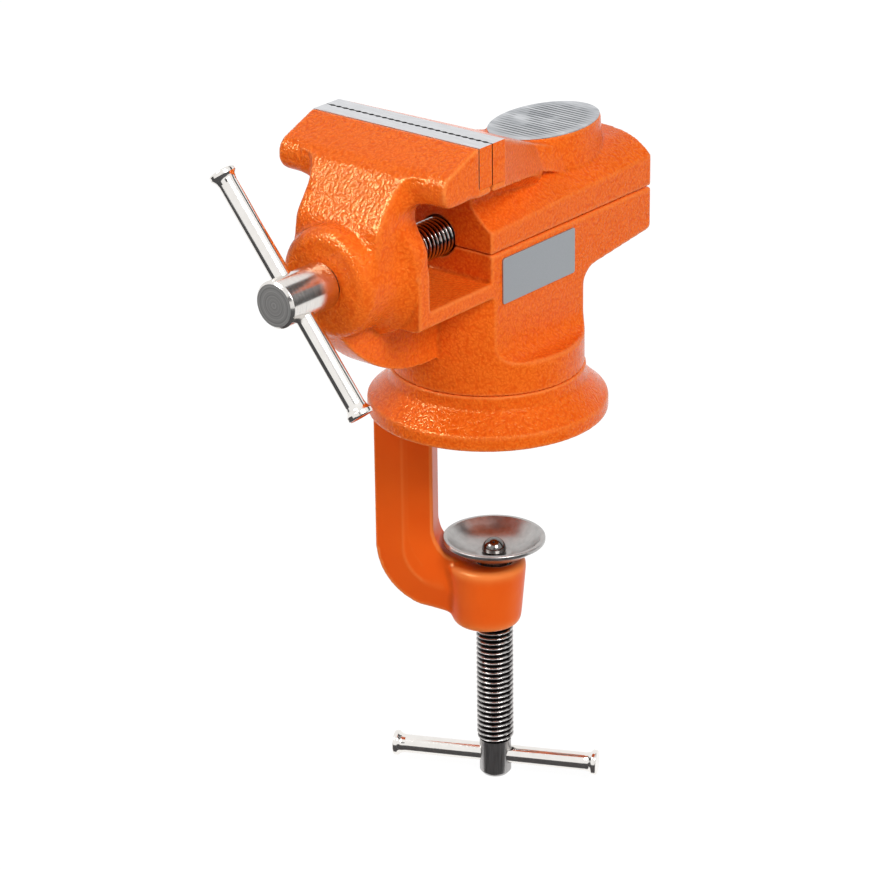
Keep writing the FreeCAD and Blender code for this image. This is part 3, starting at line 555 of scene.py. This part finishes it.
# %% Neighbours and local softness
class Neighbours:
    """Averages over the points that each point of a mesh is joined to."""

    def __init__(self, mesh):
        self.count = len(mesh.vertices)
        ends = np.empty(2 * len(mesh.edges), dtype=np.int32)
        mesh.edges.foreach_get("vertices", ends)
        self.a, self.b = ends.reshape(-1, 2).T
        self.shares = self.sums(np.ones((self.count, 1)))

    def sums(self, values):
        columns = [
            np.bincount(self.a, column[self.b], self.count)
            + np.bincount(self.b, column[self.a], self.count)
            for column in values.T
        ]
        return np.column_stack(columns)

    def mean(self, values):
        return self.sums(values) / self.shares


def within(values, low, high, blend):
    """One inside a range of values and falling evenly to zero over a blend outside it."""
    outside = np.maximum(low - values, values - high)
    return np.clip(1 - outside / blend, 0.0, 1.0)


def jaw_neck(points):
    x, y, z = points.T
    return within(np.abs(x), 9, 40, 3) * within(y, -72, -46, 3) * within(z, 67, 88, 3)


def clamp_boss(points):
    x, y, z = points.T
    return within(np.hypot(x, y), 10, 19, 3) * within(z, -76, -53, 3)


def nowhere(points):
    return np.zeros(len(points))


def swivel_seam(points):
    x, y, z = points.T
    return within(z, 14.4, 16.4, 0.5) * within(np.hypot(x, y), 27, 33, 1)


# %% Soften the castings
VOXEL = 0.5
PASSES_EVERYWHERE = 3
PASSES_IN_SOFT_PLACES = 30
SEAM_HOLD = 0.8
RIDGE_FROM = 0.3


def softened(name, node, body, soft_place):
    piece = bpy.data.objects.new(name, nodes[node].data.copy())
    bpy.context.scene.collection.objects.link(piece)
    remesh = piece.modifiers.new("remesh", "REMESH")
    remesh.mode = "VOXEL"
    remesh.voxel_size = VOXEL * MM
    remesh.use_smooth_shade = True
    graph = bpy.context.evaluated_depsgraph_get()
    mesh = bpy.data.meshes.new_from_object(piece.evaluated_get(graph))
    piece.modifiers.clear()
    piece.data = mesh

    points = np.empty(3 * len(mesh.vertices))
    mesh.vertices.foreach_get("co", points)
    points = points.reshape(-1, 3) / MM
    neighbours = Neighbours(mesh)
    everywhere = 1 - SEAM_HOLD * swivel_seam(points)
    soft = soft_place(points)
    for turn in range(PASSES_IN_SOFT_PLACES):
        step = everywhere if turn < PASSES_EVERYWHERE else everywhere * soft
        points += 0.5 * step[:, None] * (neighbours.mean(points) - points)
    mesh.vertices.foreach_set("co", (points * MM).ravel())
    mesh.update()

    normals = np.empty(3 * len(mesh.vertices))
    mesh.vertex_normals.foreach_get("vector", normals)
    inward = points - neighbours.mean(points)
    bulge = (inward * normals.reshape(-1, 3)).sum(axis=1, keepdims=True) / (VOXEL ** 2 / 4)
    for turn in range(2):
        bulge = 0.5 * bulge + 0.5 * neighbours.mean(bulge)
    # the edge number drives the painted highlight on ridges and the painted shade in hollows
    edge = mesh.attributes.new("edge", "FLOAT", "POINT")
    edge.data.foreach_set("value", np.clip(bulge.ravel(), -1, 1))

    mesh.materials.clear()
    mesh.materials.append(body_enamel)
    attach(piece, body)
    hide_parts(node)
    ridges = float((bulge > RIDGE_FROM).mean())
    print(name, "has", len(mesh.polygons), "faces,", f"{ridges:.1%} of its points on ridges")
    return piece


body_piece = softened("body", "body_casting", "vise_body", jaw_neck)
rear_piece = softened("rear_jaw", "rear_jaw_casting", "rear_jaw", nowhere)
frame_piece = softened("swivel_frame", "clamp_frame", "clamp_base", clamp_boss)

# %% [markdown]
# The ground jaw plates stand a hair proud of the castings, so behind the rear plate the
# casting's top is lowered by about half a millimetre.

# %% Casting under the rear plate's top
PLATE_TOP_Z = 102.1
PLATE_PROUD = 0.55
for vertex in rear_piece.data.vertices:
    vertex.co.z = min(vertex.co.z, (PLATE_TOP_Z - PLATE_PROUD) * MM)

# %% [markdown]
# The clamp frame is pebbled on its round foot only. Everything below the bench face
# is the smooth arm, so those faces take the second finish.

# %% Two finishes on the clamp frame
frame_piece.data.materials.append(arm_enamel)
for face in frame_piece.data.polygons:
    if face.center.z < -0.3 * MM:
        face.material_index = 1

# %% [markdown]
# ## The machined anvil face
# Machining leaves a crisp oval edge that softening would lose. So the softened casting
# is lowered a little under the anvil's face, and a thin oval plate with a tiny
# chamfer takes its place, in bare milled iron.

# %% Anvil face
ANVIL_Z = 86.2
FACE_THICKNESS = 0.35

for vertex in rear_piece.data.vertices:
    x, y, z = vertex.co / MM
    oval = (x / ANVIL_HALF_WIDTH) ** 2 + ((y - ANVIL_Y) / ANVIL_HALF_LENGTH) ** 2
    if oval < 1.2 and z > ANVIL_Z - FACE_THICKNESS:
        vertex.co.z = (ANVIL_Z - FACE_THICKNESS) * MM


def oval_face():
    around = 128
    rings = [(-0.55, -FACE_THICKNESS - 0.6), (-0.30, -0.12), (-0.45, 0.0)]
    points = []
    faces = []
    for grow, rise in rings:
        for step in range(around):
            angle = 2 * math.pi * step / around
            x = (ANVIL_HALF_WIDTH + grow) * math.cos(angle)
            y = ANVIL_Y + (ANVIL_HALF_LENGTH + grow) * math.sin(angle)
            points.append(Vector((x, y, ANVIL_Z + rise)) * MM)
    for row in range(len(rings) - 1):
        for step in range(around):
            a = row * around + step
            b = row * around + (step + 1) % around
            faces.append((a, b, b + around, a + around))
    top = (len(rings) - 1) * around
    faces.append(tuple(range(top, top + around)))
    faces.append(tuple(reversed(range(around))))
    return new_piece("anvil_face", points, faces, anvil_iron, 20)


anvil_face = oval_face()
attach(anvil_face, "rear_jaw")

# %% [markdown]
# ## Real threads
# The imported screws carry plain ring grooves. A thread is one groove that climbs by its
# pitch in every turn, here 1.75 mm, and on bright metal the eye sees that slant at once. Each row of points
# here follows the helix once around the screw and is then joined to the row one pitch
# higher, so the crests stay clean. Both ends fade out, as a cut thread does.

# %% [markdown]
# Threads are coloured near black in their grooves and bright on their crests. The dark
# grooves are partly oil and oxide and partly painted shade; the bright crests are partly
# metal rubbed by the nut and partly painted glints. The builder below stores how high
# every point stands, from zero in the root to one on the crest, and this finish goes from
# black to bright by it.


# %% Thread wear, painted glints and painted shade
def thread_wear_and_glint(name, crest, root, rough):
    finish, tree, point = new_finish(name)
    rise = add(tree, "ShaderNodeAttribute", attribute_name="rise").outputs["Fac"]
    patches = add(tree, "ShaderNodeTexNoise", {"Vector": point, "Scale": 1 / (1.6 * MM), "Detail": 2.0})
    worn = add(
        tree, "ShaderNodeMath", {0: patches.outputs["Fac"], 1: 0.5, 2: rise}, operation="MULTIPLY_ADD"
    )
    share = add(tree, "ShaderNodeMapRange", {"Value": worn.outputs[0], "From Min": 0.75, "From Max": 1.3})
    metal = add(
        tree,
        "ShaderNodeMix",
        {0: share.outputs[0], 6: colour(root), 7: colour(crest)},
        data_type="RGBA",
    )
    relief = add(
        tree, "ShaderNodeBump", {"Height": patches.outputs["Fac"], "Distance": 0.02 * MM, "Strength": 0.5}
    )
    shader = add(
        tree,
        "ShaderNodeBsdfPrincipled",
        {"Base Color": metal.outputs[2], "Metallic": 1.0, "Roughness": rough, "Normal": relief.outputs[0]},
    )
    close_finish(tree, shader)
    return finish


# bright crests are partly painted glints, dark roots partly painted shade
black_thread = thread_wear_and_glint("black_thread", "#CFCBC7", "#0E0D0C", 0.13)
grey_thread = thread_wear_and_glint("rolled_thread", "#DAD6D4", "#1E1C1B", 0.2)

# %% Thread builder
PITCH = 1.75
CREST = 6.0
ROOT_DEPTH = 1.07
THREAD_PROFILE = [(0.0, 1.0), (0.06, 1.0), (0.10, 0.93), (0.40, 0.07), (0.45, 0.0)]
THREAD_PROFILE += [(0.55, 0.0), (0.60, 0.07), (0.90, 0.93), (0.94, 1.0)]


def thread(name, origin, direction, length, finish, around=72):
    """Right-hand thread on a closed core, from origin along direction, in mm."""
    axis, side, other = frame_along(direction)
    start = Vector(origin)
    turns = math.ceil(length / PITCH) + 1
    rows = [(turn + share, rise) for turn in range(-1, turns) for share, rise in THREAD_PROFILE]
    points = []
    for turn, rise in rows:
        for step in range(around):
            climb = (turn + step / around) * PITCH
            height = min(max(climb, 0.0), length)
            fade = min(1.0, height / (0.7 * PITCH), (length - height) / (0.7 * PITCH))
            radius = CREST - ROOT_DEPTH + ROOT_DEPTH * rise * fade
            angle = 2 * math.pi * step / around
            out = side * math.cos(angle) + other * math.sin(angle)
            points.append((start + axis * height + out * radius) * MM)
    faces = []
    per_turn = len(THREAD_PROFILE)
    for row in range(len(rows) - 1):
        for step in range(around - 1):
            a = row * around + step
            faces.append((a, a + 1, a + 1 + around, a + around))
        if row + 1 + per_turn < len(rows):
            a = row * around + around - 1
            b = (row + per_turn) * around
            faces.append((a, b, b + around, a + around))
    piece = new_piece(name, points, faces, finish)
    work = bmesh.new()
    work.from_mesh(piece.data)
    bmesh.ops.remove_doubles(work, verts=work.verts, dist=1e-7)
    bmesh.ops.dissolve_degenerate(work, edges=work.edges, dist=1e-7)
    rims = [edge for edge in work.edges if edge.is_boundary]
    bmesh.ops.holes_fill(work, edges=rims, sides=0)
    bmesh.ops.recalc_face_normals(work, faces=work.faces)
    work.to_mesh(piece.data)
    work.free()
    piece.data.set_sharp_from_angle(angle=math.radians(50))
    rise = piece.data.attributes.new("rise", "FLOAT", "POINT")
    for vertex in piece.data.vertices:
        out = vertex.co / MM - start
        radius = (out - axis * out.dot(axis)).length
        rise.data[vertex.index].value = (radius - CREST + ROOT_DEPTH) / ROOT_DEPTH
    return piece


# %% [markdown]
# ## The main screw
# Its head is a bright plated barrel with a cross hole for the handle, faced off on a
# lathe, so fine rings show on the end. The thread behind the wall is oiled and almost
# black. Head and thread are two pieces here, because they differ in finish, and the
# cross hole is cut with a Boolean.

# %% Main screw
HEAD_FRONT_Y = -97.8
HEAD_REAR_Y = -76.8
HEAD_RADIUS = 7.25
JOURNAL_LENGTH = 30.6
THREAD_START_Y = -46.3
THREAD_LENGTH = 96.3
HANDLE_Y = -89.4
CROSS_HOLE_RADIUS = 3.08
HANDLE_ANGLE = math.radians(51)
handle_direction = Vector((math.cos(HANDLE_ANGLE), 0, -math.sin(HANDLE_ANGLE)))


def drilled(piece, point, direction, radius):
    """Cut a round hole right through a piece, at a point in mm, and keep it crisp."""
    cutter = turned(
        "cutter",
        [(0, -20), (radius, -20), (radius, 20), (0, 20)],
        point,
        direction,
        piece.data.materials[0],
    )
    cut = piece.modifiers.new("cut", "BOOLEAN")
    cut.object = cutter
    cut.solver = "EXACT"
    graph = bpy.context.evaluated_depsgraph_get()
    mesh = bpy.data.meshes.new_from_object(piece.evaluated_get(graph))
    piece.modifiers.clear()
    piece.data = mesh
    mesh.set_sharp_from_angle(angle=math.radians(35))
    bpy.data.objects.remove(cutter)


def round_shading(piece, origin, direction, radius):
    """Point the normals on a barrel straight out, so that long faces reflect evenly."""
    axis = Vector(direction).normalized()
    start = Vector(origin) * MM
    mesh = piece.data
    normals = [tuple(n.vector) for n in mesh.corner_normals]
    for face in mesh.polygons:
        if abs(face.normal.dot(axis)) > 0.02:
            continue
        for loop in face.loop_indices:
            out = mesh.vertices[mesh.loops[loop].vertex_index].co - start
            out -= axis * out.dot(axis)
            if abs(out.length - radius * MM) < 0.02 * MM:
                normals[loop] = tuple(out.normalized())
    mesh.normals_split_custom_set(normals)


screw_head = turned(
    "main_screw_head",
    [
        (0, 0),
        (HEAD_RADIUS - 0.8, 0),
        (HEAD_RADIUS, 0.8, 0.5),
        (HEAD_RADIUS, HEAD_REAR_Y - HEAD_FRONT_Y - 0.8, 0.3),
        (HEAD_RADIUS - 0.8, HEAD_REAR_Y - HEAD_FRONT_Y, 0.2),
        (0, HEAD_REAR_Y - HEAD_FRONT_Y),
    ],
    (0, HEAD_FRONT_Y, SCREW_Z),
    (0, 1, 0),
    barrel_nickel,
)
drilled(screw_head, (0, HANDLE_Y, SCREW_Z), handle_direction, CROSS_HOLE_RADIUS)
round_shading(screw_head, (0, HEAD_FRONT_Y, SCREW_Z), (0, 1, 0), HEAD_RADIUS)
screw_head.data.materials.append(head_face_steel)
for face in screw_head.data.polygons:
    if face.normal.y < -0.95:
        face.material_index = 1
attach(screw_head, "main_screw")
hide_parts("main_screw")

journal = turned(
    "main_screw_journal",
    [(0, 0), (CREST, 0), (CREST, JOURNAL_LENGTH), (0, JOURNAL_LENGTH)],
    (0, HEAD_REAR_Y, SCREW_Z),
    (0, 1, 0),
    inner_steel,
)
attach(journal, "main_screw")
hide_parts("main_screw")

main_thread = thread(
    "main_screw_thread", (0, THREAD_START_Y, SCREW_Z), (0, 1, 0), THREAD_LENGTH, black_thread
)
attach(main_thread, "main_screw")
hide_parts("main_screw")

# %% [markdown]
# ## The clamp screw
# The clamp screw is rolled steel, left grey, with a plain drawn end for its handle.

# %% Clamp screw
CLAMP_X = 1.465
CLAMP_Y = 0.863
NECK_TOP_Z = -52.3
THREAD_TOP_Z = -54.4
THREAD_LOW_Z = -117.4
GRIP_LOW_Z = -130.0
ROD_Z = -123.2
GRIP_RADIUS = 5.15
CLAMP_HANDLE_ANGLE = math.radians(26)
clamp_handle_direction = Vector((math.cos(CLAMP_HANDLE_ANGLE), math.sin(CLAMP_HANDLE_ANGLE), 0))

clamp_thread = thread(
    "clamp_screw_thread",
    (CLAMP_X, CLAMP_Y, THREAD_LOW_Z),
    (0, 0, 1),
    THREAD_TOP_Z - THREAD_LOW_Z,
    grey_thread,
)
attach(clamp_thread, "clamp_screw")
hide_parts("clamp_screw")

neck = turned(
    "clamp_screw_neck",
    [(0, 0), (4.5, 0), (4.5, NECK_TOP_Z - THREAD_TOP_Z, 0.5), (0, NECK_TOP_Z - THREAD_TOP_Z)],
    (CLAMP_X, CLAMP_Y, THREAD_TOP_Z),
    (0, 0, 1),
    grip_steel,
)
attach(neck, "clamp_screw")

grip = turned(
    "clamp_screw_grip",
    [
        (0, 0),
        (GRIP_RADIUS - 1.0, 0, 0.3),
        (GRIP_RADIUS, 1.2, 0.5),
        (GRIP_RADIUS, THREAD_LOW_Z - GRIP_LOW_Z),
        (0, THREAD_LOW_Z - GRIP_LOW_Z),
    ],
    (CLAMP_X, CLAMP_Y, GRIP_LOW_Z),
    (0, 0, 1),
    grip_steel,
)
drilled(grip, (CLAMP_X, CLAMP_Y, ROD_Z), clamp_handle_direction, CROSS_HOLE_RADIUS)
round_shading(grip, (CLAMP_X, CLAMP_Y, GRIP_LOW_Z), (0, 0, 1), GRIP_RADIUS)
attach(grip, "clamp_screw")

# %% [markdown]
# ## Finishes for the pieces that stay as packed
# Handles, washers, plates and the label plate have the right shape already and only
# take a finish. The jaw plates were painted over at their ends together with the
# castings, and then ground on top, so the end faces are orange. Their gripping faces
# are coloured near black as painted shade in the gap between the jaws, which shows as a
# black line.

# %% Finishes on imported nodes
packed = {
    "main_handle_rod": bright_nickel,
    "main_handle_caps": bright_nickel,
    "clamp_handle_rod": bright_nickel,
    "clamp_handle_caps": bright_nickel,
    "swivel_pad": pad_metal,
    "pad_rivet": ball_metal,
    "retaining_collar": inner_steel,
    "collar_pin": inner_steel,
    "square_nut": inner_steel,
    "front_plate_screws": inner_steel,
    "rear_plate_screws": inner_steel,
    "swivel_bolt": zinc_metal,
    "spring_washer": zinc_metal,
    "flat_washer": zinc_metal,
    "label_plate": label_metal,
    "front_jaw_plate": plate_steel,
    "rear_jaw_plate": plate_steel,
}
for node, finish in packed.items():
    mesh = nodes[node].data
    mesh.materials.clear()
    mesh.materials.append(finish)

for node, grip_side in (("front_jaw_plate", 1), ("rear_jaw_plate", -1)):
    mesh = nodes[node].data
    mesh.materials.append(body_enamel)
    mesh.materials.append(gap_shade_steel)
    for face in mesh.polygons:
        if abs(face.normal.x) > 0.95 and abs(face.center.x) > 31.5 * MM:
            face.material_index = 1
        # painted shade on the gripping faces, for the gap between the jaws
        elif face.normal.y * grip_side > 0.3 and abs(face.normal.z) < 0.95:
            face.material_index = 2

# %% [markdown]
# ## Studio
# A product photographer would stand the vise on white paper in a bright room. The paper
# and the room show as plain white to the camera and in reflections. That white comes
# from their colour and not from more light, so the enamel keeps its depth. Diffuse
# light still sees paper and a dimmer room, and a trace of it leaves a faint shadow.


# %% Floor and world
def seen_directly(tree):
    """One for rays from the camera and for mirrored or refracted ones, zero for the rest."""
    path = add(tree, "ShaderNodeLightPath")
    direct = add(
        tree,
        "ShaderNodeMath",
        {0: path.outputs["Is Camera Ray"], 1: path.outputs["Is Glossy Ray"]},
        operation="MAXIMUM",
    )
    direct = add(
        tree,
        "ShaderNodeMath",
        {0: direct.outputs[0], 1: path.outputs["Is Transmission Ray"]},
        operation="MAXIMUM",
    )
    return direct.outputs[0]


def white_paper():
    finish, tree, point = new_finish("white_paper")
    fibre = add(tree, "ShaderNodeTexNoise", {"Vector": point, "Scale": 1 / (1.1 * MM), "Detail": 3.0})
    relief = add(
        tree, "ShaderNodeBump", {"Height": fibre.outputs["Fac"], "Distance": 0.02 * MM, "Strength": 0.2}
    )
    paper = add(
        tree,
        "ShaderNodeBsdfPrincipled",
        {"Base Color": colour("#DCDCDC"), "Roughness": 0.9, "Normal": relief.outputs[0]},
    )
    plain = add(tree, "ShaderNodeEmission", {"Color": colour("#FFFFFF"), "Strength": 0.935})
    shadow = add(tree, "ShaderNodeBsdfDiffuse", {"Color": colour("#686868")})
    white = add(tree, "ShaderNodeAddShader", {0: plain.outputs[0], 1: shadow.outputs[0]})
    shader = add(
        tree, "ShaderNodeMixShader", {0: seen_directly(tree), 1: paper.outputs[0], 2: white.outputs[0]}
    )
    close_finish(tree, shader)
    return finish


floor_z = cad_low.z - 0.4 * MM
floor = new_piece(
    "floor",
    [(-6, -6, floor_z), (6, -6, floor_z), (6, 6, floor_z), (-6, 6, floor_z)],
    [(0, 1, 2, 3)],
    white_paper(),
)

world = bpy.data.worlds.new("studio")
world.use_nodes = True
bpy.context.scene.world = world
tree = world.node_tree
tree.nodes.clear()
room = add(tree, "ShaderNodeBackground", {"Color": colour("#FFFFFF"), "Strength": 0.21})
backdrop = add(tree, "ShaderNodeBackground", {"Color": colour("#FFFFFF"), "Strength": 1.0})
light = add(
    tree, "ShaderNodeMixShader", {0: seen_directly(tree), 1: room.outputs[0], 2: backdrop.outputs[0]}
)
add(tree, "ShaderNodeOutputWorld", {"Surface": light.outputs[0]})

# %% [markdown]
# ## Lamps
# The photograph's front faces are almost as bright as its right side, and it is dark
# under the body's overhang. That takes a soft box high on the right and a weaker one
# high on the left in front. A weak one behind keeps the far side readable, and stays
# out of reflections, where it would burn out the bare metal tops. The fourth
# is seen by the enamel's reflections alone: it gives the broken peach patches on the
# shoulders that lean up and to the front, and adds nothing to the light on the paint.
# Linking that lamp to the castings keeps it out of the bright metal.


# %% Soft boxes
def soft_box(name, place, width, height, watts):
    data = bpy.data.lights.new(name, "AREA")
    data.shape = "RECTANGLE"
    data.size = width
    data.size_y = height
    data.energy = watts
    lamp = bpy.data.objects.new(name, data)
    facing = Vector(place).to_track_quat("Z", "Y").to_matrix().to_4x4()
    lamp.matrix_world = Matrix.Translation(place) @ facing
    bpy.context.scene.collection.objects.link(lamp)
    return lamp


soft_box("right_box", (0.78, -0.28, 0.72), 0.45, 0.45, 8.4)
soft_box("left_box", (-0.36, -0.68, 0.78), 0.45, 0.45, 3.7)
back_box = soft_box("back_box", (-0.60, 0.85, 0.50), 0.45, 0.45, 3.4)
back_box.visible_glossy = False

gloss_box = soft_box("gloss_box", (-0.24, -0.73, 0.64), 0.65, 0.42, 54.0)
gloss_box.visible_diffuse = False
enamelled = bpy.data.collections.new("enamelled")
for piece in (body_piece, rear_piece, frame_piece):
    enamelled.objects.link(piece)
gloss_box.light_linking.receiver_collection = enamelled

# %% [markdown]
# ## Black cards
# Polished metal in an all-white room looks flat: its form only shows where it mirrors
# something dark. Photographers place black cards for that. These three are seen by
# reflections alone: one lies in front of the vise, one hides the camera, and one
# stands behind on the right. They take no light from the scene and cast no shadow.


# %% Cards
def card(name, corners):
    piece = new_piece(name, corners, [(0, 1, 2, 3)], card_black)
    piece.visible_camera = False
    piece.visible_diffuse = False
    piece.visible_transmission = False
    piece.visible_volume_scatter = False
    piece.visible_shadow = False


def card_towards(name, direction, long_way, reach, half_width, half_length):
    """A card square to a direction from the vise, at a reach, longest the long way."""
    axis = Vector(direction).normalized()
    side = axis.cross(Vector(long_way)).normalized() * half_width
    rise = side.normalized().cross(axis) * half_length
    middle = axis * reach
    card(name, [middle - side - rise, middle + side - rise, middle + side + rise, middle - side + rise])


card_black, tree, point = new_finish("black_card")
felt = add(tree, "ShaderNodeTexNoise", {"Vector": point, "Scale": 1 / (2 * MM)})
felt_tone = add(
    tree,
    "ShaderNodeMix",
    {0: felt.outputs["Fac"], 6: colour("#454547"), 7: colour("#626263")},
    data_type="RGBA",
)
close_finish(tree, add(tree, "ShaderNodeBsdfDiffuse", {"Color": felt_tone.outputs[2]}))

card_z = floor_z + 0.2 * MM
FRONT_CARD_CORNERS = [(-0.75, -0.40), (-0.35, -1.15), (1.1, -0.4), (0.75, 0.39)]
card("front_card", [(x, y, card_z) for x, y in FRONT_CARD_CORNERS])
card_towards("camera_card", -forward, up, 0.9, 0.12, 0.12)
card_towards("back_card", (0.586, 0.709, 0.393), (-0.556, 0, 0.831), 0.9, 0.16, 0.8)

# %% View settings and the end
bpy.context.scene.view_settings.view_transform = "Standard"
